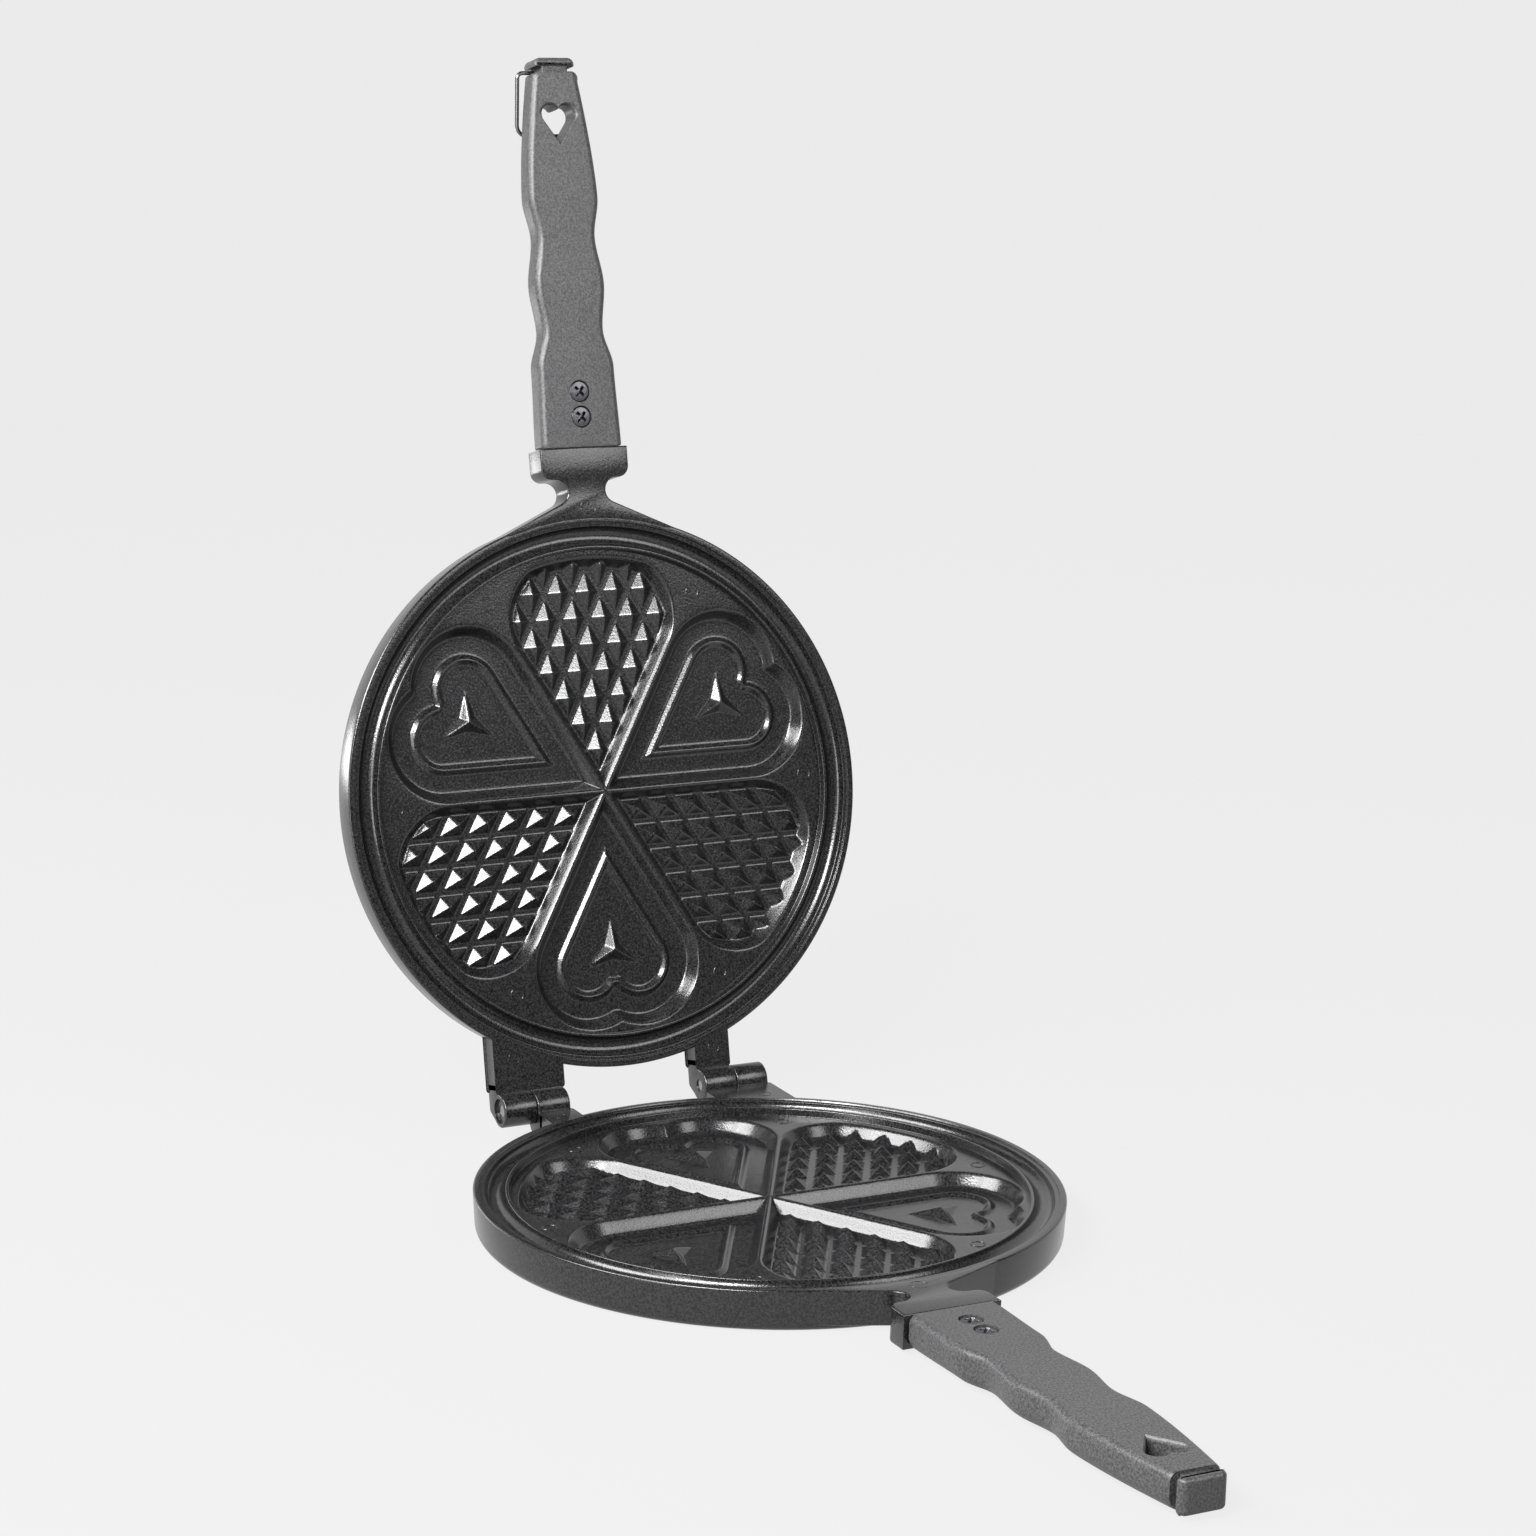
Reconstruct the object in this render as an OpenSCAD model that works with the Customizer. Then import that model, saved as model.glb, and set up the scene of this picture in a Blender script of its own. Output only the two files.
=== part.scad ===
// Stovetop waffle iron: two like cast pans on a slide-apart hinge, moulded handles, wire bail.
// Origin: centre of the lower pan's flat base. Handles point along -Y, the hinge is at +Y.
// The lid is drawn open, leaning back on its stop, as it stands on a worktop.

/* [Pans] */
// Outside diameter of a pan
pan_d = 200; // [190:1:210]
// Height of one pan from its base to the parting plane
pan_h = 14.2; // [13.5:0.1:16]
// Gap left between the two rims when the iron is shut
rim_gap = 0.3; // [0.2:0.05:0.6]
// Depth of the cooking field below the parting plane
field_depth = 3.5; // [3:0.1:4]
// Depth of a batter cell below the cooking field
cell_depth = 4.8; // [4:0.1:5.5]
// Width on plan of a cell's sloping wall
wall_run = 3.1; // [2:0.1:3.6]
// Half the width of the crest left between two cells
crest_half = 0.6; // [0.4:0.05:1]

/* [Cell pattern] */
// Distance of a cell's lobe centres from the centre of the pan, measured outwards
lobe_y = 63.4; // [61:0.1:65]
// Radius of the outer arc that closes a studded cell
fan_r = 85.5; // [84:0.1:86]
// Height of the pyramid studs
stud_h = 3.1; // [2:0.1:3.8]
// Distance between stud rows, outwards from the centre
row_step = 9.57; // [8.5:0.01:10.5]
// Distance of the first stud from the centre of the pan
first_row = 15.3; // [14.5:0.1:16]
// Share of the pitch that a stud fills, the rest is channel
stud_fill = 0.8; // [0.65:0.01:0.85]
// Height of the heart bead on the floor of a plain cell
bead_h = 2; // [1:0.1:3]
// Width of the heart bead at its foot
bead_w = 3.4; // [2.5:0.1:4.2]
// Height of the star on the floor of a plain cell
star_h = 3; // [2:0.1:4]
// Length of a star's arms
star_arm = 11.4; // [9:0.1:12]

/* [Hinge] */
// Distance of the hinge axis from the centre of the pan
hinge_y = 110.5; // [109:0.1:114]
// Radius of a hinge knuckle
knuckle_r = 6; // [5:0.1:6.5]
// Radius of the hinge pins
pin_r = 2.2; // [1.8:0.05:2.6]
// Radial clearance where a pin turns
pin_clear = 0.05; // [0.03:0.01:0.1]
// Angle that the lid opens to before it meets its stop
open_angle = 102; // [100:1:104]

/* [Handles] */
// Distance of the seam between tang and handle from the centre of the pan
seam_y = 124.7; // [122:0.1:128]
// Length of a handle
handle_l = 140.6; // [130:0.1:150]
// Thickness of a handle
handle_t = 12; // [11:0.1:12.5]
// Half width of the tang's shoulder
shoulder_w = 17.2; // [16:0.1:18.5]
// Half width of the handle at its finger waists
waist_w = 11.6; // [11:0.1:12.5]
// Half width of the handle at its finger lobes
grip_lobe_w = 13.7; // [13:0.1:15]

/* [Bail] */
// Diameter of the bail wire
wire_d = 1.5; // [1.2:0.1:1.8]
// Length of the bail from its pivot to its crossbar
bail_l = 22.5; // [22:0.1:23]

/* [Hidden] */
pan_r = pan_d / 2;
face_z = pan_h - rim_gap / 2;
back_z = face_z - handle_t;
field_z = pan_h - field_depth;
floor_z = field_z - cell_depth;
// Lobe circles touch the straight crest lines, which stand 30 degrees either side of a cell
lobe_r = 0.2304 * pan_r;
lobe_x = (lobe_y * sin(30) - lobe_r) / cos(30);
floor_in = crest_half + wall_run;
sunk = 0.5;
// Hinge knuckles, measured outwards from the middle of the iron
inner_x = [27, 39.6];
outer_x = [39.9, 52.3];
lug_in_x = 26.8;
plate_gap = knuckle_r + 0.4;
plate_z = 5;
heel = [5, knuckle_r + 0.35];
screw_y = [seam_y + 11, seam_y + 20.2];
screw_head = [3.85, 1.9];
screw_shank_r = 1.9;
tongue = [18, 25.3, 5];
tongue_z = face_z - 4.2 - tongue[2];
end_y = seam_y + handle_l;
grip_end = handle_l - 5.7;
notch_y = end_y - 4.4;
neck_w = 5;
cap_w = 7.6;
wire_r = wire_d / 2;
bail_x = 11.5;
pivot_z = face_z - 8.5;
// The wire hangs plumb, so in the handle's frame it leans back by the lid's lean
bail_lean = open_angle - 90;
cast_colour = [0.13, 0.13, 0.135];
phenolic_colour = [0.16, 0.16, 0.165];
screw_colour = [0.2, 0.2, 0.21];
steel_colour = [0.75, 0.75, 0.77];

// Point of the circle of radius r round c at angle a, and a run of such points
function on(c, r, a) = [c[0] + r * cos(a), c[1] + r * sin(a)];
function arc(c, r, a0, a1, n) = [for (i = [0:n]) on(c, r, a0 + (a1 - a0) * i / n)];
function mirrored(side) = [for (i = [len(side) - 1:-1:0]) if (side[i][0] > 0.001) [-side[i][0], side[i][1]]];
function at(loop, z) = [for (p = loop) [p[0], p[1], z]];

// Heart outline moved inwards by s, tip at the centre of the pan. The fillet in the cleft has
// the radius cleft + s and keeps its centre, so two such outlines stay parallel.
function heart(s, cleft = 0.3, base = 0) =
    let (r = lobe_r - s, c = cleft + s - base,
        cy = lobe_y + sqrt(pow(r + c, 2) - pow(lobe_x, 2)), a = atan2(cy - lobe_y, -lobe_x),
        side = concat([[0, s / sin(30)]], arc([lobe_x, lobe_y], r, -30, a, 14),
            [for (i = [1:3]) on([0, cy], c, a - 180 + (90 + a - 180) * -i / 3)]))
    concat(side, mirrored(side));

// Studded cell outline moved inwards by s: the same lobes cut off by one arc round the pan's centre
function fan_corner(s) = let (r = lobe_r - s, d = norm([lobe_x, lobe_y]), q = fan_r - s)
    atan2(lobe_y, lobe_x) - acos((q * q - r * r - d * d) / (2 * r * d));
function fan(s) =
    let (side = arc([lobe_x, lobe_y], lobe_r - s, -30, fan_corner(s), 10), last = side[10],
        b = atan2(last[0], last[1]), top = [for (i = [1:6]) on([0, 0], fan_r - s, 90 - b + b * i / 6)],
        half = concat([[0, s / sin(30)]], side, top))
    concat(half, mirrored(half));

// Closed solid through a stack of like rings of points, sides split into triangles if asked
module loft(rings, split = false) {
    n = len(rings[0]);
    m = len(rings);
    quads = [for (k = [0:m - 2]) for (i = [0:n - 1])
        [k * n + i, (k + 1) * n + i, (k + 1) * n + (i + 1) % n, k * n + (i + 1) % n]];
    sides = split ? [for (q = quads) each [[q[0], q[1], q[2]], [q[0], q[2], q[3]]]] : quads;
    polyhedron(
        points = [for (ring = rings) each ring],
        faces = concat([[for (i = [0:n - 1]) i]], [[for (i = [n - 1:-1:0]) (m - 1) * n + i]], sides),
        convexity = 6);
}

// Batter cells with sloping walls, cut a little above the field too
module heart_cell() {
    over = wall_run / cell_depth;
    loft([at(heart(floor_in), floor_z), at(heart(crest_half - over), field_z + 1)]);
}

module fan_cell() {
    over = wall_run / cell_depth;
    loft([at(fan(floor_in), floor_z), at(fan(crest_half - over), field_z + 1)], true);
}

// Pyramid stud on a rhombus, long diagonal outwards
module stud(x, y) {
    grow = 1 + sunk / stud_h;
    hy = stud_fill * row_step * grow;
    hx = hy * tan(30);
    polyhedron(
        points = [[x + hx, y, floor_z - sunk], [x, y + hy, floor_z - sunk],
            [x - hx, y, floor_z - sunk], [x, y - hy, floor_z - sunk], [x, y, floor_z + stud_h]],
        faces = [[0, 1, 2, 3], [1, 0, 4], [2, 1, 4], [3, 2, 4], [0, 3, 4]]);
}

// Rows of studs, each row one longer than the last, shortened where the cell rounds off
module stud_field() {
    pitch = row_step * tan(30);
    for (k = [0:7])
        for (j = [0:k])
            if (abs(2 * j - k) <= (k == 6 ? 4 : k == 7 ? 3 : k))
                stud((2 * j - k) * pitch, first_row + k * row_step);
}

// Heart bead of triangular section, raised on a plain cell's floor
module heart_bead() {
    inset = 12.2;
    spread = bead_w / 2 * (1 + sunk / bead_h);
    rings = [at(heart(inset - spread, 2.19, inset), floor_z - sunk),
        at(heart(inset, 2.19, inset), floor_z + bead_h),
        at(heart(inset + spread, 2.19, inset), floor_z - sunk)];
    n = len(rings[0]);
    polyhedron(
        points = [for (ring = rings) each ring],
        faces = [for (k = [0:2]) for (i = [0:n - 1])
            [k * n + i, (k + 1) % 3 * n + i, (k + 1) % 3 * n + (i + 1) % n, k * n + (i + 1) % n]],
        convexity = 6);
}

// Three-armed star pyramid, one arm towards the centre of the pan
module star() {
    grow = 1 + sunk / star_h;
    translate([0, 57.8, floor_z - sunk])
        polyhedron(
            points = concat([for (i = [0:2]) concat(on([0, 0], star_arm * grow, -90 + 120 * i), 0)],
                [for (i = [0:2]) concat(on([0, 0], 3.5 * grow, -30 + 120 * i), 0)],
                [[0, 0, star_h + sunk]]),
            faces = concat([[0, 3, 1, 4, 2, 5]], [for (i = [0:2]) [3 + i, i, 6]],
                [for (i = [0:2]) [(i + 1) % 3, 3 + i, 6]]));
}

// Turned body of a pan: base, skirt, rim land, step, gutter, bead and cooking field
module pan_body() {
    foot = 2.8;
    gutter_r = 3.45;
    step_z = face_z - 0.6;
    rotate_extrude($fn = 96)
        polygon(concat([[0, 0]], arc([pan_r - 0.8 - foot, foot], foot, -90, 0, 4),
            [[pan_r, face_z], [pan_r - 2.3, face_z], [pan_r - 2.6, step_z]],
            arc([pan_r - 7.45, step_z], gutter_r, 0, -180, 8),
            [[pan_r - 12.1, step_z], [pan_r - 12.4, field_z], [0, field_z]]));
}

// Plan of the tang: flare off the circle, rounded neck, broad shoulder
module tang_plan() {
    neck = 7.5;
    bend = 4.6;
    bend_y = 108.9;
    corner = 4;
    side = concat([for (a = [0, 6.5, 13]) on([0, 0], pan_r - 1.5, -90 + a)], [[33, -94.4]],
        arc([neck + bend, -bend_y], bend, 114, 270, 10),
        arc([shoulder_w - corner, -bend_y - bend - corner], corner, 90, 0, 6),
        [[shoulder_w, -seam_y]]);
    polygon(concat(side, mirrored(side)));
}

module tang() {
    translate([0, 0, back_z]) linear_extrude(handle_t) tang_plan();
    translate([-tongue[0] / 2, -seam_y - tongue[1], tongue_z]) cube([tongue[0], tongue[1] + 3, tongue[2]]);
}

// Bar of a lug from under the rim out to y
module lug_bar(x, y) {
    start = 82;
    intersection() {
        translate([x[0], start, plate_z]) cube([x[1] - x[0], y - start, face_z - plate_z]);
        difference() {
            cylinder(h = 30, r = 140, $fn = 96);
            translate([0, 0, -1]) cylinder(h = 40, r = pan_r - 1.5, $fn = 96);
        }
    }
}

module along_x(x, r) {
    translate([x[0], hinge_y, pan_h]) rotate([0, 90, 0]) cylinder(h = x[1] - x[0], r = r, $fn = 64);
}

// Wide lug with the outer knuckle, in which a pin is pressed; the plate stops clear of the
// other pan's knuckle
module wide_lug() {
    difference() {
        union() {
            lug_bar([lug_in_x, outer_x[1]], hinge_y - plate_gap);
            lug_bar(outer_x, hinge_y);
            along_x(outer_x, knuckle_r);
        }
        along_x([outer_x[0] - 1, outer_x[1] + 1], pin_r);
        along_x([outer_x[1] - 1, outer_x[1] + 1], 4.5);
    }
}

// Narrow lug with the inner knuckle; its heel meets the other plate's end when the lid is open
module narrow_lug() {
    difference() {
        union() {
            lug_bar(inner_x, hinge_y);
            along_x(inner_x, knuckle_r);
            translate([inner_x[0], hinge_y, pan_h]) rotate([90, 0, 90])
                linear_extrude(inner_x[1] - inner_x[0]) rotate(90 - open_angle) square(heel);
        }
        along_x([inner_x[0] - 1, inner_x[1] + 1], pin_r + pin_clear);
    }
}

// One casting, drawn as the lower pan; the lid is the same casting turned over
module pan() {
    difference() {
        union() {
            difference() {
                union() {
                    pan_body();
                    tang();
                }
                for (a = [180, 300, 60]) rotate(a) fan_cell();
                for (a = [0, 120, 240]) rotate(a) heart_cell();
            }
            wide_lug();
            mirror([1, 0, 0]) narrow_lug();
            for (a = [180, 300, 60]) rotate(a) stud_field();
            for (a = [0, 120, 240]) rotate(a) {
                heart_bead();
                star();
            }
        }
        for (y = screw_y)
            translate([0, -y, tongue_z - 1]) cylinder(h = tongue[2] + 2, r = screw_shank_r, $fn = 32);
    }
}

// Half width of the handle at distance s from the seam: shoulder, two finger waists, long taper
grip_keys = [[0, 15.8], [28.9, 15.1], [42.3, waist_w + 0.3], [58.9, grip_lobe_w], [76, waist_w - 0.2],
    [90.3, grip_lobe_w]];
function ease(t) = t * t * (3 - 2 * t);
function grip_w(s) = s >= grip_keys[5][0]
    ? grip_lobe_w - 5.1 * pow((s - grip_keys[5][0]) / (grip_end - grip_keys[5][0]), 1.5)
    : let (i = max([for (k = [0:4]) if (s >= grip_keys[k][0]) k]), a = grip_keys[i], b = grip_keys[i + 1])
        a[1] + (b[1] - a[1]) * ease((s - a[0]) / (b[0] - a[0]));

// Section of the grip, half width w, back edges rounder than front edges
module grip() {
    back_r = 3.4;
    front_r = 1.8;
    start = 0.2;
    steps = 40;
    levels = concat([for (a = [0:30:90]) [back_r * (1 - sin(a)), back_z + back_r * (1 - cos(a))]],
        [for (a = [90:-30:0]) [front_r * (1 - sin(a)), face_z - front_r * (1 - cos(a))]]);
    loft([for (i = [0:steps]) let (s = start + (grip_end - start) * i / steps, w = grip_w(s))
        concat([for (v = levels) [w - v[0], -seam_y - s, v[1]]],
            [for (k = [len(levels) - 1:-1:0]) [levels[k][0] - w, -seam_y - s, levels[k][1]]])]);
}

// Heart-shaped hanging hole, lobes towards the end of the handle
module hang_hole() {
    r = 3.4;
    lobe = [2.9, -3.3];
    tip = [0, 6.8];
    d = norm(tip - lobe);
    a = atan2(lobe[1] - tip[1], lobe[0] - tip[0]) + asin(r / d);
    side = on(tip, sqrt(d * d - r * r), a);
    translate([0, -end_y + 23.8, 0]) {
        for (s = [-1, 1]) translate([s * lobe[0], lobe[1]]) circle(r, $fn = 48);
        polygon([tip, [-side[0], side[1]], [-lobe[0], lobe[1]], [0, lobe[1] - 1], lobe, side]);
    }
}

// Moulded handle, drawn for the lower pan, with socket, screw seats, hanging hole and wire bore
module handle() {
    play = 0.15;
    difference() {
        union() {
            grip();
            translate([-neck_w, -end_y + 1.5, back_z + 1]) cube([2 * neck_w, 5.2, handle_t - 2]);
            translate([0, 0, back_z + 0.6]) linear_extrude(handle_t - 1.2) cap_plan();
        }
        translate([0, 0, back_z - 1]) linear_extrude(handle_t + 2) hang_hole();
        translate([-tongue[0] / 2 - play, -seam_y - tongue[1] - 2 * play, tongue_z - play])
            cube([tongue[0] + 2 * play, tongue[1] + 3, tongue[2] + 2 * play]);
        for (y = screw_y) {
            translate([0, -y, tongue_z - 2]) cylinder(h = 16, r = screw_shank_r + 0.1, $fn = 32);
            translate([0, -y, face_z - 2.1]) cylinder(h = 4, r = screw_head[0] + 0.15, $fn = 48);
        }
        translate([-8, -notch_y, pivot_z]) rotate([0, 90, 0]) cylinder(h = 16, r = wire_r + 0.05, $fn = 32);
    }
}

module cap_plan() {
    corner = 1.4;
    side = concat([[0, -end_y]], arc([cap_w - corner, -end_y + corner], corner, -90, 0, 4),
        arc([cap_w - 0.6, -end_y + 2.5], 0.6, 0, 90, 2), [[0, -end_y + 3.1]]);
    polygon(concat(side, mirrored(side)));
}

// Pan-head screw with a cross recess, driven from the handle's inner face
module screw(y) {
    difference() {
        union() {
            translate([0, -y, face_z - 2.1]) cylinder(h = screw_head[1], r = screw_head[0], $fn = 48);
            translate([0, -y, tongue_z - 1.5]) cylinder(h = face_z - 0.6 - tongue_z, r = screw_shank_r, $fn = 32);
        }
        for (a = [45, 135])
            translate([0, -y, face_z - 1.2]) rotate(a) translate([-2.1, -0.45, 0]) cube([4.2, 0.9, 2]);
    }
}

// Hinge pin along X, from the inner knuckle to the recess of the outer one
module hinge_pin() {
    along_x([inner_x[0] + 0.5, outer_x[1] - 1.2], pin_r);
}

// Wire bail in the handle's frame: two stubs in the neck's bore, bends, legs and a crossbar
module bail() {
    turn = 2;
    corner = 4;
    stub = 1.5;
    translate([0, -notch_y, pivot_z]) rotate([-bail_lean, 0, 0]) {
        for (s = [0, 1]) mirror([s, 0, 0]) {
            translate([stub, 0, 0]) rotate([0, 90, 0]) cylinder(h = bail_x - turn - stub, r = wire_r, $fn = 32);
            translate([bail_x - turn, turn, 0]) rotate(-90)
                rotate_extrude(angle = 90, $fn = 48) translate([turn, 0]) circle(wire_r, $fn = 32);
            translate([bail_x, turn, 0]) rotate([-90, 0, 0])
                cylinder(h = bail_l - turn - corner, r = wire_r, $fn = 32);
            translate([bail_x - corner, bail_l - corner, 0])
                rotate_extrude(angle = 90, $fn = 48) translate([corner, 0]) circle(wire_r, $fn = 32);
        }
        translate([corner - bail_x, bail_l, 0]) rotate([0, 90, 0])
            cylinder(h = 2 * (bail_x - corner), r = wire_r, $fn = 32);
    }
}

// Turns a part of the lower half over to the lid's place and opens it about the hinge
module lid_place() {
    translate([0, hinge_y, pan_h]) rotate([-open_angle, 0, 0]) translate([0, -hinge_y, pan_h])
        rotate([0, 180, 0]) children();
}

module lower_pan() { color(cast_colour) pan(); }
module upper_pan() { color(cast_colour) lid_place() pan(); }
module lower_handle() { color(phenolic_colour) handle(); }
module upper_handle() { color(phenolic_colour) lid_place() handle(); }
module lower_inner_screw() { color(screw_colour) screw(screw_y[0]); }
module lower_outer_screw() { color(screw_colour) screw(screw_y[1]); }
module upper_inner_screw() { color(screw_colour) lid_place() screw(screw_y[0]); }
module upper_outer_screw() { color(screw_colour) lid_place() screw(screw_y[1]); }
module left_hinge_pin() { color(steel_colour) mirror([1, 0, 0]) hinge_pin(); }
module right_hinge_pin() { color(steel_colour) hinge_pin(); }
module wire_bail() { color(steel_colour) lid_place() bail(); }

lower_pan();
upper_pan();
lower_handle();
upper_handle();
lower_inner_screw();
lower_outer_screw();
upper_inner_screw();
upper_outer_screw();
left_hinge_pin();
right_hinge_pin();
wire_bail();
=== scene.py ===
"""Looks of a stovetop waffle iron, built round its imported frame. Lengths inside functions are mm."""

import math

import bpy
import numpy as np
from mathutils import Matrix


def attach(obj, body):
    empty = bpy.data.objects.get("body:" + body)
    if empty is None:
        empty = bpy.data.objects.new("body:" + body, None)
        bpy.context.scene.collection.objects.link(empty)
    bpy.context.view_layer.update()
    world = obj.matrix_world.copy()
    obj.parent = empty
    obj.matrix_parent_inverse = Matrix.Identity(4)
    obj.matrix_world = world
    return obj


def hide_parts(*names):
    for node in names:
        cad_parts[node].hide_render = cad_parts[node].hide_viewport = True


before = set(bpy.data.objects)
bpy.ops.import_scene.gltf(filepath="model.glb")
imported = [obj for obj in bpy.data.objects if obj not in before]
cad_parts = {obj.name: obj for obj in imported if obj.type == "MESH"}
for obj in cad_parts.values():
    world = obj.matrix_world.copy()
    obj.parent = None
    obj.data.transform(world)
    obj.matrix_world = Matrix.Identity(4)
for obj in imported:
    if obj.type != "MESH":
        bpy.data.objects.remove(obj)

bl_info = {
    "name": "Stovetop waffle iron",
    "version": (1, 0, 0),
    "blender": (4, 5, 0),
    "location": "View3D > Sidebar > Waffle iron",
    "description": "Builds the pans, hinge, handles, screws, wire bail and the stage",
    "category": "Object",
}

# Sizes shared with the CAD, in mm, for the lower half as it lies. The lid is that half turned
# over.
HINGE = (110.5, 14.2)  # y and z of the hinge axis
OPEN = math.radians(102.0)  # angle at which the lid stands
FACE_Z = 14.05  # land on the rim, tang, lugs and handle
BACK_Z = 2.05  # back of the tang and handle
FIELD_Z = 10.7  # ridges between the cells
FLOOR_Z = 5.9  # floor of a cell
LOBE = (10.0, 63.4, 23.04)  # centre and radius of a heart's lobe
LOBE_END = 330  # angle on the lobe's circle where the straight side takes over
WALL_START, WALL_RUN = 0.6, 3.1  # inset at which a cell's wall starts down, and its width
FAN_R = 85.5  # outer edge of the six cells
FIELD_R = 88.2  # edge of the cooking face, hidden under the rim's profile
START_R = 98.3  # circle just inside the rim on which the tang and lug plates start
PITCH = 11.05  # spacing of the studs along both crest directions
FIRST = 8.834  # distance of the first stud along each crest direction
STUD_HALF = 4.42  # half width of a stud
KNUCKLE_R = 6.0  # outside of a knuckle
LUG_Z = 5  # underside of the lugs
OUTER_X, INNER_X = (39.9, 52.3), (27.0, 39.6)  # reach of the outer and inner knuckles
SEAM = 124.7  # distance from the pan's centre to the handle's start
END = 265.3  # distance to the end of the handle's cap
GRIP_LENGTH = 134.9  # from the seam to the neck in front of the cap
SCREWS = (("inner", 135.7), ("outer", 144.9))  # distances of the screws
SEAT_Z = 11.95  # floor of a screw's seat
PIVOT = (-260.9, 5.55)  # y and z of the wire's ends in the handle
LEAN = math.radians(12)  # how far the wire leans back from the handle
COS30 = math.cos(math.radians(30))
SHARP = 35.0  # edges that turn by more degrees than this are shaded sharp


def colour(hex_code):
    """Linear colour of an sRGB hex code."""
    c = [int(hex_code[i:i + 2], 16) / 255 for i in (1, 3, 5)]
    return tuple(x / 12.92 if x <= 0.04045 else ((x + 0.055) / 1.055) ** 2.4 for x in c) + (1.0,)


class WaffleIronPans(bpy.types.PropertyGroup):
    """Sizes of the cast pans that the looks add to the frame."""

    stud_height: bpy.props.FloatProperty(
        name="Stud height", description="Height of the pyramid studs",
        default=0.0031, unit="LENGTH")
    bead_height: bpy.props.FloatProperty(
        name="Bead height", description="Height of the heart bead",
        default=0.0014, unit="LENGTH")
    star_height: bpy.props.FloatProperty(
        name="Star height", description="Height of the three-armed star",
        default=0.003, unit="LENGTH")
    crest_round: bpy.props.FloatProperty(
        name="Crest rounding", description="Width over which a wall's top or foot is rounded",
        default=0.0005, unit="LENGTH")
    edge_round: bpy.props.FloatProperty(
        name="Edge rounding", description="Radius of the tang's and lugs' edges",
        default=0.0007, unit="LENGTH")
    turns: bpy.props.IntProperty(
        name="Steps round the rim", description="Steps of the turned rim and skirt", default=240)


class WaffleIronFittings(bpy.types.PropertyGroup):
    """Sizes of the handles, screws and wire."""

    front_round: bpy.props.FloatProperty(
        name="Front edge", description="Radius of a handle's inner edges",
        default=0.0027, unit="LENGTH")
    back_round: bpy.props.FloatProperty(
        name="Back edge", description="Radius of a handle's outer edges",
        default=0.005, unit="LENGTH")
    wire: bpy.props.FloatProperty(
        name="Wire", description="Diameter of the bail's wire",
        default=0.0015, unit="LENGTH")
    recess: bpy.props.FloatProperty(
        name="Cross recess", description="Depth of the screws' cross recess",
        default=0.0018, unit="LENGTH")


class WaffleIronColours(bpy.types.PropertyGroup):
    """Colours of the five finishes."""

    cast: bpy.props.FloatVectorProperty(
        name="Coating", description="Colour of the coated pans",
        default=colour("#1B1B1C"), size=4, min=0.0, max=1.0, subtype="COLOR")
    phenolic: bpy.props.FloatVectorProperty(
        name="Handles", description="Colour of the moulded handles",
        default=colour("#3E3E3F"), size=4, min=0.0, max=1.0, subtype="COLOR")
    screw: bpy.props.FloatVectorProperty(
        name="Screws", description="Colour of the blackened screws",
        default=colour("#5C5C5F"), size=4, min=0.0, max=1.0, subtype="COLOR")
    pin: bpy.props.FloatVectorProperty(
        name="Pins", description="Colour of the hinge pins",
        default=colour("#A8A8AA"), size=4, min=0.0, max=1.0, subtype="COLOR")
    wire: bpy.props.FloatVectorProperty(
        name="Wire", description="Colour of the bail's wire",
        default=colour("#767678"), size=4, min=0.0, max=1.0, subtype="COLOR")


class WaffleIronStage(bpy.types.PropertyGroup):
    """Camera and light."""

    azimuth: bpy.props.FloatProperty(
        name="Azimuth", description="Camera's angle round the object",
        default=math.radians(-27.16), subtype="ANGLE")
    elevation: bpy.props.FloatProperty(
        name="Elevation", description="Camera's angle above the floor",
        default=math.radians(12.44), subtype="ANGLE")
    roll: bpy.props.FloatProperty(
        name="Roll", description="Camera's turn about its own axis",
        default=math.radians(1.26), subtype="ANGLE")
    distance: bpy.props.FloatProperty(
        name="Distance", description="Distance from the camera to its target",
        default=1.27994, unit="LENGTH")
    lens: bpy.props.FloatProperty(
        name="Lens", description="Focal length in mm on a 36 mm sensor", default=86.54)
    key: bpy.props.FloatProperty(
        name="Key light", description="Strength of the boxes on the left in W", default=22.0)
    fill: bpy.props.FloatProperty(
        name="Fill light", description="Strength of the boxes on the right in W", default=6.0)
    rim: bpy.props.FloatProperty(
        name="Rim light", description="Strength of the low box behind in W", default=1.2)
    sky: bpy.props.FloatProperty(
        name="Sky", description="Strength of the even light", default=0.14)
    glow: bpy.props.FloatProperty(
        name="Paper", description="Strength of the paper's own light", default=0.82)


# Geometry helpers


def mm(length):
    """A length in metres, as the properties hold it, in mm."""
    return length * 1000


def to_lid(p):
    """Points of the lower half turned over and opened about the hinge, as the lid stands."""
    y, z = p[:, 1] - HINGE[0], HINGE[1] - p[:, 2]
    c, s = math.cos(OPEN), -math.sin(OPEN)
    return np.stack([-p[:, 0], HINGE[0] + y * c - z * s, HINGE[1] + y * s + z * c], 1)


def both(parts):
    """The same parts for the lid's half."""
    return [(to_lid(p), q, c) for p, q, c in parts]


# Body, start of the names, and what places the parts of each half
HALVES = (("base", "lower", list), ("lid", "upper", both))


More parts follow.
